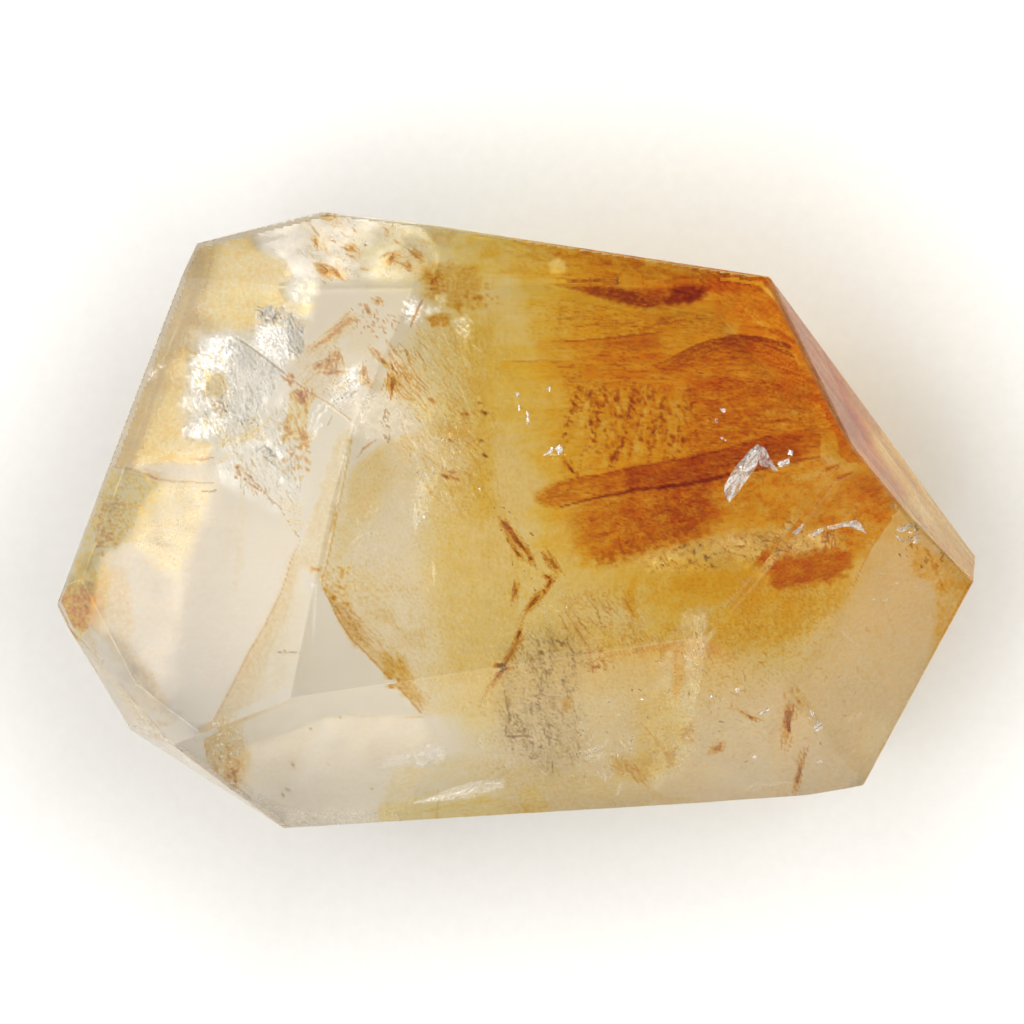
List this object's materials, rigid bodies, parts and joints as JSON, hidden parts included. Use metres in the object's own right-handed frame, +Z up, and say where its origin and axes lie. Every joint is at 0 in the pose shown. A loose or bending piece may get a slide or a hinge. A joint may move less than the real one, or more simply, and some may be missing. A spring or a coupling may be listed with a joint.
{
  "type": "quartz freeform",
  "caption": "Hand-polished clear quartz freeform with flat facets, gold and rust-brown mineral staining inside, resting on a flat base.",
  "frame": {"origin": "middle of the bounding box, at the level of the flat base", "axes": "+Z up from the resting base, +X along the stone's length towards its bevelled right tip, +Y across its width"},
  "size_m": [0.0756, 0.0506, 0.027],
  "materials": {
    "quartz_freeform": "polished, see-through, with gold and rust-brown inclusions"
  },
  "bodies": {
    "root": {"quartz_freeform": "quartz_freeform"}
  },
  "joints": []
}
